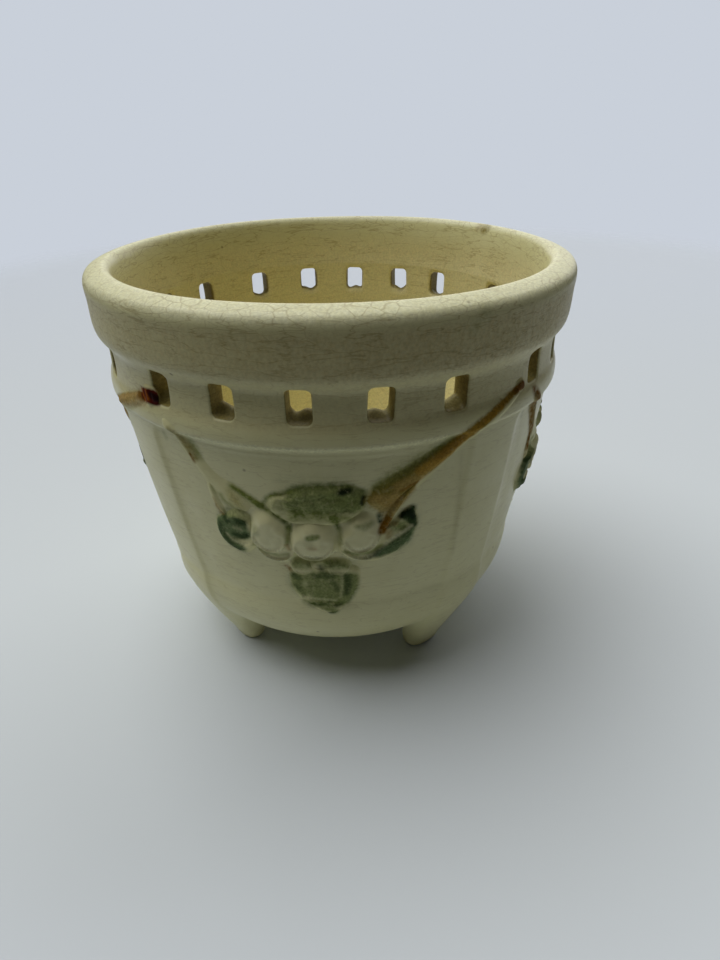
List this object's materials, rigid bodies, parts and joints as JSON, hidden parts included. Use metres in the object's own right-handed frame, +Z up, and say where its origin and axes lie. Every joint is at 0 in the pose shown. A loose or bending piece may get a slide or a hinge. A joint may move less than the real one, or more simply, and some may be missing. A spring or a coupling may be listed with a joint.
{
  "type": "footed pottery planter",
  "caption": "Round glazed pottery planter on short feet, with a pierced band under a rolled rim and rose festoons in sunk panels.",
  "frame": {"origin": "on the ground under the middle of the bowl", "axes": "+Z up along the bowl's axis; -Y out of the middle of the first panel"},
  "size_m": [0.127, 0.127, 0.111],
  "materials": {
    "ivory_glaze": "soft-sheen ivory glaze with a fine net of crazing",
    "rose_glaze": "ivory glaze with an olive heart",
    "leaf_paint": "dark blue-green underglaze, mottled",
    "berry_paint": "mottled green underglaze, pale on the knobs",
    "collar_paint": "thin green underglaze",
    "cord_paint": "tan and brown underglaze with a green edge",
    "knot_paint": "dark red-brown underglaze"
  },
  "bodies": {
    "root": {"bowl": "ivory_glaze", "sill_moulding": "ivory_glaze", "pierced_band": "ivory_glaze", "rim": "ivory_glaze", "pilaster_1": "ivory_glaze", "pilaster_2": "ivory_glaze", "pilaster_3": "ivory_glaze", "pilaster_4": "ivory_glaze", "foot_1": "ivory_glaze", "foot_2": "ivory_glaze", "foot_3": "ivory_glaze", "foot_4": "ivory_glaze", "rose_centre_1": "rose_glaze", "rose_centre_2": "rose_glaze", "rose_centre_3": "rose_glaze", "rose_centre_4": "rose_glaze", "rose_left_1": "rose_glaze", "rose_left_2": "rose_glaze", "rose_left_3": "rose_glaze", "rose_left_4": "rose_glaze", "rose_right_1": "rose_glaze", "rose_right_2": "rose_glaze", "rose_right_3": "rose_glaze", "rose_right_4": "rose_glaze", "leaf_left_1": "leaf_paint", "leaf_left_2": "leaf_paint", "leaf_left_3": "leaf_paint", "leaf_left_4": "leaf_paint", "leaf_right_1": "leaf_paint", "leaf_right_2": "leaf_paint", "leaf_right_3": "leaf_paint", "leaf_right_4": "leaf_paint", "berries_1": "berry_paint", "berries_2": "berry_paint", "berries_3": "berry_paint", "berries_4": "berry_paint", "collar_1": "collar_paint", "collar_2": "collar_paint", "collar_3": "collar_paint", "collar_4": "collar_paint", "pendant_leaf_1": "leaf_paint", "pendant_leaf_2": "leaf_paint", "pendant_leaf_3": "leaf_paint", "pendant_leaf_4": "leaf_paint", "cord_left_1": "cord_paint", "cord_left_2": "cord_paint", "cord_left_3": "cord_paint", "cord_left_4": "cord_paint", "cord_right_1": "cord_paint", "cord_right_2": "cord_paint", "cord_right_3": "cord_paint", "cord_right_4": "cord_paint", "knot_1": "knot_paint", "knot_2": "knot_paint", "knot_3": "knot_paint", "knot_4": "knot_paint"}
  },
  "joints": []
}
